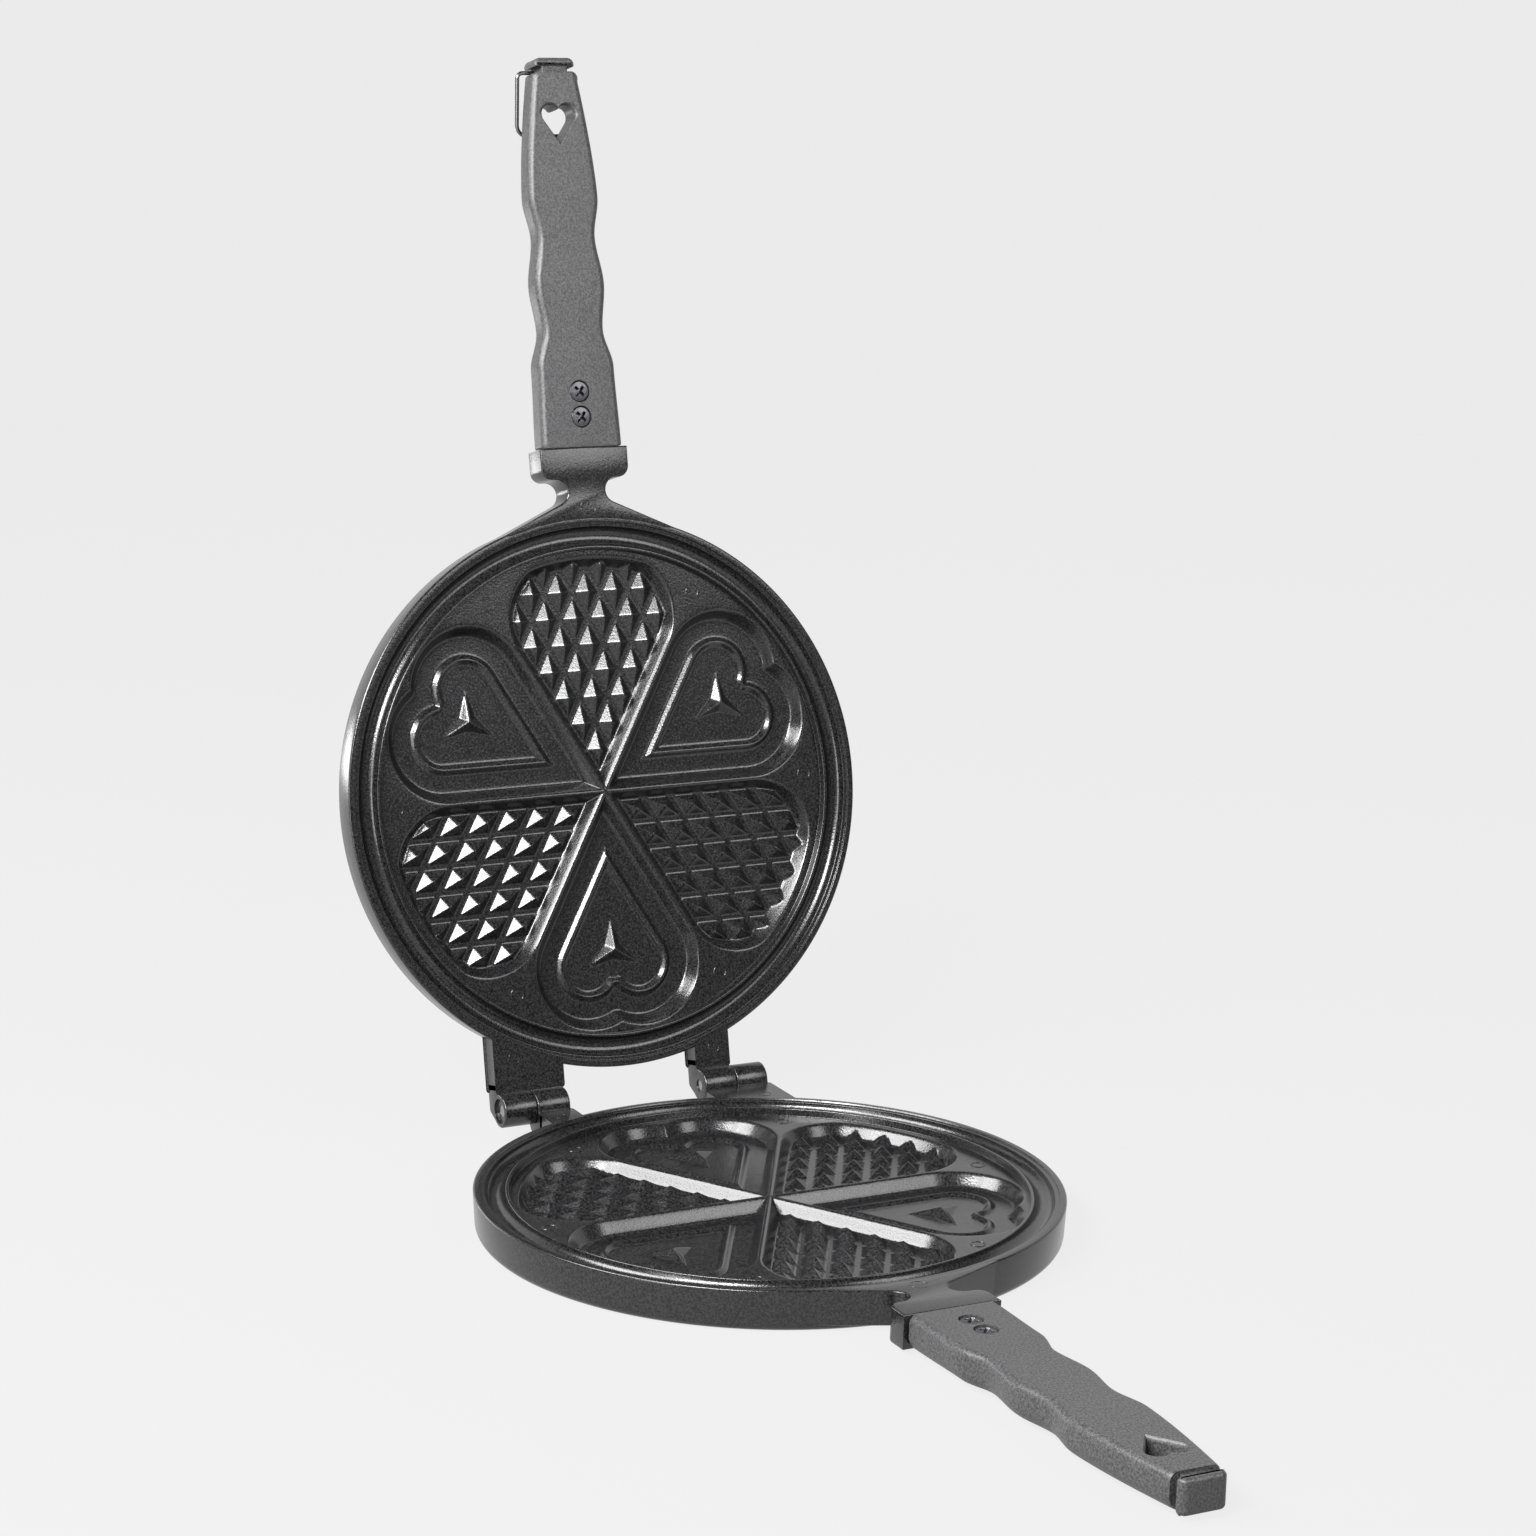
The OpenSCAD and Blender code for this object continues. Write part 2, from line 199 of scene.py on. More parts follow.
def spin(p, degrees):
    """Points turned about the upright axis."""
    a = math.radians(degrees)
    c, s = math.cos(a), math.sin(a)
    return np.stack([p[:, 0] * c - p[:, 1] * s, p[:, 0] * s + p[:, 1] * c, p[:, 2]], 1)


def grid_faces(rows, cols, wrap_cols=False, wrap_rows=False):
    """Quads between neighbours on a grid of rows by cols points."""
    r = np.arange(rows if wrap_rows else rows - 1)
    c = np.arange(cols if wrap_cols else cols - 1)
    r, c = [x.ravel() for x in np.meshgrid(r, c, indexing="ij")]
    r1, c1 = (r + 1) % rows, (c + 1) % cols
    return np.stack([r * cols + c, r * cols + c1, r1 * cols + c1, r1 * cols + c], 1)


def end_caps(rows, n):
    """Flat faces that close the first and the last of rows rings of n points."""
    last = (rows - 1) * n
    return [list(range(n))[::-1], list(range(last, last + n))]


def make(name, parts, material, sharp=SHARP):
    """One mesh object from (points in mm, faces, flat caps) parts. Its place is in its vertices."""
    points, faces, flat, base = [], [], [], 0
    for p, quads, caps in parts:
        points.append(p)
        faces += (np.asarray(quads) + base).tolist()
        flat += [False] * len(quads)
        faces += [[i + base for i in cap] for cap in caps]
        flat += [True] * len(caps)
        base += len(p)
    mesh = bpy.data.meshes.new(name)
    mesh.from_pydata((np.concatenate(points) * 0.001).tolist(), [], faces)
    mesh.polygons.foreach_set("use_smooth", [not f for f in flat])
    mesh.update()
    if sharp:
        mesh.set_sharp_from_angle(angle=math.radians(sharp))
    mesh.materials.append(material)
    obj = bpy.data.objects.new(name, mesh)
    bpy.context.scene.collection.objects.link(obj)
    return obj


def rounded(points, radii, steps=6):
    """Path with its corners replaced by arcs: each arc touches both legs of its corner."""
    pts = [np.asarray(p, float) for p in points]
    out = [pts[0]]
    for i in range(1, len(pts) - 1):
        a, b, c, r = pts[i - 1], pts[i], pts[i + 1], radii[i]
        u, v = (a - b) / np.linalg.norm(a - b), (c - b) / np.linalg.norm(c - b)
        half = math.acos(max(-1.0, min(1.0, float(u @ v)))) / 2
        if r <= 0 or abs(half - math.pi / 2) < 0.01:
            out.append(b)
            continue
        centre = b + (u + v) / np.linalg.norm(u + v) * r / math.sin(half)
        s, e = b + u * r / math.tan(half) - centre, b + v * r / math.tan(half) - centre
        turn = math.acos(max(-1.0, min(1.0, float(s @ e) / r ** 2)))
        for t in np.linspace(0, 1, steps + 1):
            bend = s * math.sin((1 - t) * turn) + e * math.sin(t * turn)
            out.append(centre + bend / math.sin(turn))
    out.append(pts[-1])
    return np.array(out)


def closed(points, radii, steps=6):
    """Closed outline with rounded corners, counter-clockwise."""
    path = [points[-1]] + list(points) + [points[0]]
    return rounded(path, [0] + list(radii) + [0], steps)[1:-1]


def arc(cx, cy, r, start, end, n):
    """List of n points on a circle, from one angle in degrees to another."""
    turns = np.radians(np.linspace(start, end, n))
    return [(cx + r * math.cos(t), cy + r * math.sin(t)) for t in turns]


def circle(cx, cy, r, n=48):
    """Whole circle of n points, counter-clockwise."""
    a = np.linspace(0, 2 * math.pi, n, endpoint=False)
    return np.stack([cx + r * np.cos(a), cy + r * np.sin(a)], 1)


def inset(outline, d):
    """Closed counter-clockwise outline moved inwards by d along the mean normal of each corner."""
    e = np.roll(outline, -1, 0) - outline
    e /= np.maximum(np.linalg.norm(e, axis=1, keepdims=True), 1e-9)
    n = np.stack([-e[:, 1], e[:, 0]], 1)
    m = n + np.roll(n, 1, 0)
    m /= np.maximum((m ** 2).sum(1, keepdims=True) / 2, 0.5)
    return outline + m * d


def slab(outline, low, high, r_low, r_high, steps=4):
    """Outline run from low to high with both ends rounded: at angle t of a quarter turn the
    outline is inset by r(1 - sin t) and stands r(1 - cos t) in from the end. The radii have to be
    smaller than the outline's own corners, or the ends fold over themselves."""
    rings = []
    for r, end, sign, order in ((r_low, low, 1, 1), (r_high, high, -1, -1)):
        for t in np.linspace(0, math.pi / 2, steps + 1)[::order]:
            o = inset(outline, r * (1 - math.sin(t)))
            height = end + sign * r * (1 - math.cos(t))
            rings.append(np.column_stack([o, np.full(len(o), height)]))
    n = len(outline)
    faces = grid_faces(len(rings), n, wrap_cols=True)
    return np.concatenate(rings), faces, end_caps(len(rings), n)


def along_x(part):
    """A slab drawn in (y, z) and run along x."""
    p, q, c = part
    return p[:, [2, 0, 1]], q, c


def mirror_x(part):
    """A part mirrored in x, with its faces turned to point outwards."""
    p, q, c = part
    return p * [-1, 1, 1], np.asarray(q)[:, ::-1], [x[::-1] for x in c]


def cut(obj, cutters):
    """Takes cutter solids out of obj and keeps the result as its mesh."""
    for part in cutters:
        tool = make("cutter", [part], obj.data.materials[0])
        mod = obj.modifiers.new("cut", "BOOLEAN")
        mod.operation, mod.solver, mod.object = "DIFFERENCE", "EXACT", tool
        done = obj.evaluated_get(bpy.context.evaluated_depsgraph_get())
        mesh = bpy.data.meshes.new_from_object(done)
        obj.modifiers.clear()
        obj.data = mesh
        bpy.data.objects.remove(tool)
    obj.data.set_sharp_from_angle(angle=math.radians(SHARP))
    return obj


def seat(obj, body, slot, *nodes):
    """Puts a piece on its body in place of the named nodes."""
    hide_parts(*nodes)
    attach(obj, body)


# Height of the cooking face. A cell lies along v, with u across it and the pan's centre at 0, 0.


def smooth_min(a, b, k):
    """The lesser of a and b, with the corner where they meet rounded over about k."""
    return 0.5 * (a + b - np.sqrt((a - b) ** 2 + k * k))


def smooth_max(a, b, k):
    """The greater of a and b, with the corner where they meet rounded over about k."""
    return 0.5 * (a + b + np.sqrt((a - b) ** 2 + k * k))


def side_inset(u, v):
    """Distances in from a cell's straight side and from its lobe, which of them holds, and the
    angle round the lobe's centre."""
    x, y, r = LOBE
    line = v * 0.5 - u * COS30
    beyond = v * COS30 + u * 0.5 > y * COS30 + x * 0.5
    angle = np.degrees(np.arctan2(v - y, u - x)) % 360
    return line, r - np.hypot(u - x, v - y), beyond, angle


def notch(u, v, cleft, shrink):
    """Inset of a heart whose cleft is filleted: inside the fillet's angle the distance is to the
    fillet circle, elsewhere to the lobe circle or the straight side."""
    x, y, r = LOBE
    cy = y + math.sqrt((r - shrink + cleft) ** 2 - x * x)
    line, lobe, beyond, angle = side_inset(u, v)
    at_cleft = (angle > math.degrees(math.atan2(cy - y, -x))) & (angle < LOBE_END)
    round_part = np.where(at_cleft, np.hypot(u, v - cy) - cleft, lobe - shrink)
    return np.where(beyond, round_part, line - shrink)


def wall(s, k):
    """Height of a cell's sloping wall at inset s: field, slope and floor joined by smooth steps."""
    slope = FIELD_Z - (FIELD_Z - FLOOR_Z) * (s - WALL_START) / WALL_RUN
    return smooth_max(FLOOR_Z, smooth_min(FIELD_Z, slope, k), k)


def studded(u, v, a, b, pans):
    """Height of a studded cell. With a and b the distances along the two crest directions from the
    nearest stud, a stud stands h(1 - max(|a|, |b|) / w) above the floor, w its half width."""
    u = np.abs(u)
    line, lobe, beyond, angle = side_inset(u, v)
    far = np.hypot(u, v)
    mid = math.degrees(math.atan2(LOBE[1], LOBE[0]))
    tangent = (angle > mid) & (angle < LOBE_END)
    side = np.where(tangent, math.hypot(*LOBE[:2]) + LOBE[2] - far, lobe)
    side = np.where(beyond, side, line)
    z = wall(smooth_min(side, FAN_R - far, 0.8), mm(pans.crest_round))
    i, j = np.rint((a - FIRST) / PITCH), np.rint((b - FIRST) / PITCH)
    off = np.maximum(np.abs(a - FIRST - i * PITCH), np.abs(b - FIRST - j * PITCH))
    rise = 1 - off / STUD_HALF
    # Six full rows, then two that the rounded outer edge cuts short
    row, across = i + j, np.abs(i - j)
    kept = (row < 6) | ((row == 6) & (across <= 4)) | ((row == 7) & (across <= 3))
    kept &= (i >= 0) & (j >= 0)
    return np.maximum(z, np.where(kept, FLOOR_Z + mm(pans.stud_height) * rise, -9.0))


def plain(u, v, _a, _b, pans):
    """Height of a plain cell: a bead of height h(1 - |q| / 1.6) along the inner heart, with q the
    distance from its crest, and a star pyramid h(1 - x / reach - c|y|) in the frame of its nearest
    arm. The studs' two distances aren't needed here."""
    z = wall(notch(np.abs(u), v, 0.3, 0.0), mm(pans.crest_round))
    q = notch(np.abs(u), v, 2.19, 12.2)
    h, half, crest = mm(pans.bead_height), 1.6, 0.2
    bead = h - h / half * (np.hypot(q, crest) - crest)
    bead = smooth_max(bead, 0, 0.25) * (bead > -1.5)
    centre, reach, nick = 57.8, 11.4, 3.5
    rho, turn = np.hypot(u, v - centre), np.degrees(np.arctan2(v - centre, u)) + 90
    turn = np.radians(np.abs((turn + 60) % 120 - 60))
    c = (1 - nick / (2 * reach)) / (nick * math.sin(math.radians(60)))
    star = mm(pans.star_height) * (1 - rho * np.cos(turn) / reach - c * rho * np.sin(turn))
    return np.maximum(z, FLOOR_Z + np.maximum(bead, star))


def cooking_face(pans):
    """Six cells on skew grids along their two crest directions, joined where the crests meet.
    Each quad is split along the diagonal that lies nearer to the surface at its middle."""
    near = np.linspace(0, FIRST, 17)[:-1]
    t = np.concatenate([near, np.arange(FIRST, 100, PITCH / 20)])
    a, b = np.meshgrid(t, t, indexing="ij")
    u, v = (a - b) * 0.5, (a + b) * COS30
    n = len(t)
    quads = grid_faces(n, n)
    at = [x.ravel() for x in (u, v, a, b)]
    mid = [x[quads].mean(1) for x in at]
    keep = np.hypot(mid[0], mid[1]) < FIELD_R
    quads, mid = quads[keep], [m[keep] for m in mid]
    points, tris, base = [], [], 0
    for shape, angles in ((studded, (180, 300, 60)), (plain, (0, 120, 240))):
        z, middle = shape(*at, pans), 2 * shape(*mid, pans)
        bend = [np.abs(z[quads[:, k]] + z[quads[:, k + 2]] - middle) for k in (0, 1)]
        one = (bend[0] <= bend[1])[:, None, None]
        p = np.where(one, quads[:, [[0, 1, 2], [0, 2, 3]]], quads[:, [[0, 1, 3], [1, 2, 3]]])
        for angle in angles:
            points.append(spin(np.stack([at[0], at[1], z], 1), angle))
            tris.append(p.reshape(-1, 3) + base)
            base += n * n
    points, tris = np.concatenate(points), np.concatenate(tris)
    used, tris = np.unique(tris, return_inverse=True)
    points, tris = points[used], tris.reshape(-1, 3)
    # Cells share the points of the crests between them
    _, first, same = np.unique(np.round(points[:, :2], 3), axis=0,
                               return_index=True, return_inverse=True)
    points, tris = points[first], same.ravel()[tris]
    e1, e2 = points[tris[:, 1]] - points[tris[:, 0]], points[tris[:, 2]] - points[tris[:, 0]]
    down = np.cross(e1, e2)[:, 2] < 0
    tris[down] = tris[down][:, ::-1]
    return points, tris, []


def turned(pans):
    """Edge of the field, gutter, rim bead, skirt and base as one profile of (radius, height)
    turned about the pan's axis."""
    n, step = 18, 13.45
    gutter = [(92.55 - 3.45 * math.cos(t), step - 3.45 * math.sin(t))
              for t in np.linspace(0.1, math.pi - 0.1, n)]
    pts = [(86.6, 10.4), (87.7, 10.72), (87.95, step), (89.1, step), *gutter,
           (96.0, step), (97.4, step), (97.7, FACE_Z), (100, FACE_Z), (99.2, 0), (0.01, 0)]
    radii = [0, 0.3, 0.5, 0.4] + [0] * n + [0.3, 0.2, 0.2, 0.7, 2.8, 0]
    profile = rounded(pts, radii, 5)
    a = np.linspace(0, 2 * math.pi, pans.turns, endpoint=False)
    r, z = profile[:, 0][:, None], profile[:, 1][:, None] + 0 * a
    points = np.stack([r * np.cos(a), r * np.sin(a), z], 2).reshape(-1, 3)
    return points, grid_faces(len(profile), pans.turns, wrap_cols=True)[:, ::-1], []


def tang(pans):
    """Plan of the tang, flare, neck arc and shoulder, run through its thickness with the skirt's
    draft: a point at depth d below the face is drawn in by 0.008 d / 14 of its distance."""
    draft = 0.008
    side = [(START_R * math.sin(math.radians(t)), -START_R * math.cos(math.radians(t)))
            for t in (6, 12, 18.3)]
    side.append((34.2, -93.86))
    side += arc(12.1, -108.9, 4.6, 114, 270, 16) + arc(13.2, -117.5, 4, 90, 0, 8)
    side.append((17.2, -SEAM))
    side = np.array(side)
    outline = np.concatenate([[[0, -START_R]], side, (side * [-1, 1])[::-1]])
    e = mm(pans.edge_round)
    p, quads, caps = slab(outline[::-1], BACK_Z, FACE_Z + 0.01, e * 1.5, e)
    drawn = 1 - draft * (FACE_Z - p[:, 2]) / FACE_Z
    return p * np.column_stack([drawn, drawn, np.ones(len(p))]), quads, caps


def ring(x, y, r, z):
    """Edge of a round ejector mark: a low bead 0.7 mm wide that stands 0.2 mm above height z."""
    n, section = 40, ((-0.35, -0.05), (-0.12, 0.2), (0.12, 0.2), (0.35, -0.05))
    rows = [np.column_stack([circle(x, y, r + d, n), np.full(n, z + h)]) for d, h in section]
    faces = grid_faces(len(section), n, wrap_cols=True, wrap_rows=True)
    return np.concatenate(rows), faces[:, ::-1], []


def marks():
    """Ejector marks: six where the walls meet the fan's edge, one on the neck, one on each lug.
    The last three stand only 0.1 mm proud, because the halves shut with a gap of 0.3 mm."""
    far, land = 81, FACE_Z - 0.1
    turns = [math.radians(t) for t in (-150, -90, -30, 30, 90, 150)]
    field = [ring(far * math.sin(t), -far * math.cos(t), 2.4, FIELD_Z) for t in turns]
    return field + [ring(0, -103, 2.9, land), ring(45, 92.5, 2.1, land),
                    ring(-34, 97.3, 2.1, land)]


def knuckle_profile():
    """Outline in (y, z) of a lug's arm: a bar that runs into the knuckle's circle."""
    n = 30
    pts = [(101, LUG_Z), (111.2, LUG_Z), *arc(*HINGE, KNUCKLE_R, -50, 172, n),
           (104.3, FACE_Z), (101, FACE_Z)]
    return closed(pts, [0.5, 2.2] + [0] * n + [0.2, 0.3])


def plate(x0, x1, e):
    """Lug plate: its plan starts on a circle just inside the rim and ends straight."""
    n, end = 9, 104.1
    inner = [(a, math.sqrt(START_R ** 2 - a * a)) for a in np.linspace(x1, x0, n)]
    outline = closed([(x0, end), *inner[::-1], (x1, end)][::-1], [0.8] + [0] * n + [0.8])
    return slab(outline, LUG_Z, FACE_Z + 0.01, e, e)


def lugs(pans):
    """Plates of the wide and the narrow lug, the wide one's outer knuckle, and the narrow one's
    inner knuckle with the heel that stops the lid: a block turned with it about the hinge."""
    e = mm(pans.edge_round)
    c, s = math.cos(OPEN - math.pi / 2), math.sin(OPEN - math.pi / 2)
    long, tall = 5, 6.35
    heel = [(HINGE[0] + x * c + y * s, HINGE[1] - x * s + y * c)
            for x, y in ((0, 0), (long, 0), (long, tall), (0, tall))]
    heel = closed(heel, [0.4, 0.4, 0.7, 0.4])
    profile = knuckle_profile()
    return (plate(26.8, OUTER_X[1], e),
            mirror_x(plate(*INNER_X, e)),
            along_x(slab(profile, *OUTER_X, e * 0.6, e)),
            mirror_x(along_x(slab(profile, *INNER_X, e, e * 0.6))),
            mirror_x(along_x(slab(heel, 27.3, 39.3, 0.15, 0.15))))


def pin_bores():
    """Cutters along the hinge axis: the outer knuckle's pin bore and the recess at its end, and
    the wider bore of the inner knuckle, which lies on the other side."""
    pressed = along_x(slab(circle(*HINGE, 2.2), 38, 53, 0.02, 0.02))
    recess = along_x(slab(circle(*HINGE, 4.5), 51.3, 54, 0.05, 0.05))
    running = mirror_x(along_x(slab(circle(*HINGE, 2.25), 25, 41, 0.02, 0.02)))
    return [pressed, recess], [running]


# Handles, screws and wire


def grip_width(s):
    """Half width at distance s from the seam: eased steps between the finger waists and lobes,
    then a narrowing that grows with the 1.5th power of the distance."""
    keys = [(0, 15.8), (28.9, 15.1), (42.3, 11.9), (58.9, 13.7), (76, 11.4), (90.3, 13.7)]
    w = np.full_like(s, keys[0][1])
    for (s0, w0), (s1, w1) in zip(keys, keys[1:]):
        t = np.clip((s - s0) / (s1 - s0), 0, 1)
        w = np.where(s >= s0, w0 + (w1 - w0) * t * t * (3 - 2 * t), w)
    start, wide = keys[-1]
    t = np.clip((s - start) / (GRIP_LENGTH - start), 0, 1)
    return np.where(s >= start, wide - 5.1 * t ** 1.5, w)


def grip(fit):
    """Section with quarter-round edges, inset r(1 - sin t) at depth r(1 - cos t), carried along
    the handle. Its first and last sections are drawn in a little, to break the end's edge."""
    back, front = mm(fit.back_round), mm(fit.front_round)
    t = np.linspace(0, math.pi / 2, 9)
    sunk, shallow = 1 - np.sin(t), 1 - np.cos(t)
    ins = np.concatenate([back * sunk, (front * sunk)[::-1]])
    z = np.concatenate([BACK_Z + back * shallow, (FACE_Z - front * shallow)[::-1]])
    s = np.concatenate([[0.2], np.linspace(0.6, GRIP_LENGTH - 0.6, 130), [GRIP_LENGTH]])
    w = grip_width(s) - np.where((s < 0.5) | (s > GRIP_LENGTH - 0.3), 0.35, 0)
    x = np.concatenate([w[:, None] - ins, (ins - w[:, None])[:, ::-1]], 1)
    y = np.broadcast_to((-SEAM - s)[:, None], x.shape)
    z = np.broadcast_to(np.concatenate([z, z[::-1]]), x.shape)
    n = x.shape[1]
    faces = grid_faces(len(s), n, wrap_cols=True)
    return np.stack([x, y, z], 2).reshape(-1, 3), faces, end_caps(len(s), n)


def handle_ends():
    """Neck that holds the wire's ends, and the rounded cap behind it."""
    neck_y, cap_y = (-263, -258.5), (-END, -262.0)
    neck = closed([(-5, neck_y[0]), (5, neck_y[0]), (5, neck_y[1]), (-5, neck_y[1])], [0.3] * 4)
    cap = closed([(-7.8, cap_y[0]), (7.8, cap_y[0]), (7.8, cap_y[1]), (-7.8, cap_y[1])],
                 [2.5, 2.5, 0.5, 0.5], 10)
    return slab(neck, 3.0, 13.0, 0.4, 0.4), slab(cap, 2.6, 13.7, 1.4, 1.4, 8)


def heart_outline():
    """Hanging hole: two lobe circles and straight sides to a tip, counter-clockwise."""
    cy, r, x0 = -244.8, 3.4, 2.9
    tip = np.array([0.0, -234.7])
    d = math.hypot(x0, cy - tip[1])
    touch = math.atan2(cy - tip[1], x0) + math.asin(r / d)
    side = tip + math.sqrt(d * d - r * r) * np.array([math.cos(touch), math.sin(touch)])
    start = math.atan2(side[1] - cy, side[0] - x0)
    end = -math.pi + math.acos(x0 / r)
    lobe = [(x0 + r * math.cos(t), cy + r * math.sin(t)) for t in np.linspace(start, end, 22)]
    right = np.array([tip] + lobe)
    left = (right[1:-1] * [-1, 1])[::-1]
    return np.concatenate([right, left])[::-1]


def handle_cutters():
    """Heart hole, its outline scaled about its middle by a share for each height: flared and
    rounded at the back, straight inside and eased at the face. Then both screw seats."""
    seats = [slab(circle(0, -y, 4.0), SEAT_Z, FACE_Z + 3, 0.05, 0.05) for _, y in SCREWS]
    heart, middle = heart_outline(), np.array([0.0, -242.5])
    shares = [(0.0, 1.5), (2.0, 1.5), (2.6, 1.28), (3.6, 1.12), (5.2, 1.02), (7.0, 1.0),
              (12.2, 1.0), (13.2, 1.03), (13.7, 1.08), (FACE_Z, 1.16), (17.0, 1.16)]
    n = len(heart)
    rings = [np.column_stack([middle + (heart - middle) * k, np.full(n, z)]) for z, k in shares]
    faces = grid_faces(len(rings), n, wrap_cols=True)
    return [(np.concatenate(rings), faces, end_caps(len(rings), n))] + seats


def screw(y, fit):
    """Head on a polar grid: a dome that drops by 0.3 rho^2 and rounds off at its edge, less a
    cross recess. Arm is the distance from the cross in shares of its half length and half width,
    and the recess deepens from 1.08 inwards until it reaches its full depth."""
    radius, top, edge_at = 3.85, 13.85, 0.86
    long, wide = 2.15, 0.55
    rows, n = 44, 160
    a = np.linspace(0, 2 * math.pi, n, endpoint=False)
    rho, a = np.meshgrid(np.linspace(0.001, 1, rows), a, indexing="ij")
    x, w = radius * rho * np.cos(a), radius * rho * np.sin(a)
    edge = np.clip((rho - edge_at) / (1 - edge_at), 0, 1)
    z = top - 0.3 * rho ** 2 - 0.5 * (1 - np.sqrt(1 - edge ** 2 * 0.999))
    p, q = np.abs(x + w) / math.sqrt(2), np.abs(x - w) / math.sqrt(2)
    arm = np.minimum(np.maximum(p / long, q / wide), np.maximum(q / long, p / wide))
    z = z - mm(fit.recess) * np.clip((1.08 - arm) * 3.2, 0, 1)
    points = np.stack([x, w - y, z], 2).reshape(-1, 3)
    skirt = points[-n:] * [1, 1, 0] + [0, 0, SEAT_Z]
    return np.concatenate([points, skirt]), grid_faces(rows + 1, n, wrap_cols=True), []


def bail_path():
    """Stub, bend, leg, corner and crossbar in the wire's own plane, leaned back in the handle's
    frame by the angle LEAN about the line of the wire's ends."""
    stub, half_width, reach = 1.5, 11.5, 22.5
    right = [(stub, 0), (half_width, 0), (half_width, reach), (0, reach)]
    half = rounded(right, [0, 2, 4, 0], 12)
    flat = np.concatenate([half, (half * [-1, 1])[::-1][1:]])
    x, out = flat[:, 0], flat[:, 1]
    return np.stack([x, PIVOT[0] + out * math.cos(LEAN), PIVOT[1] - out * math.sin(LEAN)], 1)


def tube(path, r, n=18):
    """Circle of radius r carried along the bail's path, its frame kept square to the path by the
    normal of the leaned plane that the whole path lies in."""
    d = np.gradient(path, axis=0)
    d /= np.linalg.norm(d, axis=1, keepdims=True)
    n1 = np.broadcast_to(np.array([0, math.sin(LEAN), math.cos(LEAN)]), path.shape)
    n2 = np.cross(d, n1)
    a = np.linspace(0, 2 * math.pi, n, endpoint=False)
    c, s = np.cos(a)[None, :, None], np.sin(a)[None, :, None]
    points = path[:, None] + r * (c * n1[:, None] + s * n2[:, None])
    faces = grid_faces(len(path), n, wrap_cols=True)
    return points.reshape(-1, 3), faces, end_caps(len(path), n)


# Materials


def node(tree, kind, settings=None, links=None):
    """Adds a node, sets its inputs and joins (input name: (node, output name)) links."""
    n = tree.nodes.new(kind)
    for key, value in (settings or {}).items():
        if key in n.inputs:
            n.inputs[key].default_value = value
        else:
            setattr(n, key, value)
    for key, (source, out) in (links or {}).items():
        tree.links.new(source.outputs[out], n.inputs[key])
    return n


def surface(name, tint, rough, metallic=0.0, grain=0.0, grain_mm=0.5, spread=0.0, mottle=0.0,
            shine=0.5):
    """Principled surface with a fine bump of the given grain size, a roughness that drifts by
    spread and, with mottle, a lightness that varies by that share from grain to grain."""
    drift_mm, grain_deep = 40.0, 0.0003
    m = bpy.data.materials.new(name)
    m.use_nodes = True
    t = m.node_tree
    t.nodes.clear()
    out = node(t, "ShaderNodeOutputMaterial")
    p = node(t, "ShaderNodeBsdfPrincipled", {
        "Base Color": tint, "Roughness": rough, "Metallic": metallic, "Specular IOR Level": shine})
    at = node(t, "ShaderNodeTexCoord")
    if spread:
        slow = node(t, "ShaderNodeTexNoise", {"Scale": 1000 / drift_mm, "Detail": 3.0},
                    {"Vector": (at, "Object")})
        span = node(t, "ShaderNodeMapRange", {"To Min": rough - spread, "To Max": rough + spread},
                    {"Value": (slow, "Fac")})
        t.links.new(span.outputs["Result"], p.inputs["Roughness"])
    if grain:
        fine = node(t, "ShaderNodeTexNoise", {"Scale": 1000 / grain_mm, "Detail": 2.0},
                    {"Vector": (at, "Object")})
        bump = node(t, "ShaderNodeBump", {"Strength": grain, "Distance": grain_deep},
                    {"Height": (fine, "Fac")})
        t.links.new(bump.outputs["Normal"], p.inputs["Normal"])
        if mottle:
            dark, light = [[c * k for c in tint[:3]] + [1.0] for k in (1 - mottle, 1 + mottle)]
            ramp = node(t, "ShaderNodeMapRange", {"From Min": 0.35, "From Max": 0.65},
                        {"Value": (fine, "Fac")})
            mix = node(t, "ShaderNodeMix", {"data_type": "RGBA"}, {"Factor": (ramp, "Result")})
            # The colour inputs and output of a mix share their names with others, so go by number
            mix.inputs[6].default_value, mix.inputs[7].default_value = dark, light
            t.links.new(mix.outputs[2], p.inputs["Base Color"])
    t.links.new(p.outputs["BSDF"], out.inputs["Surface"])
    return m


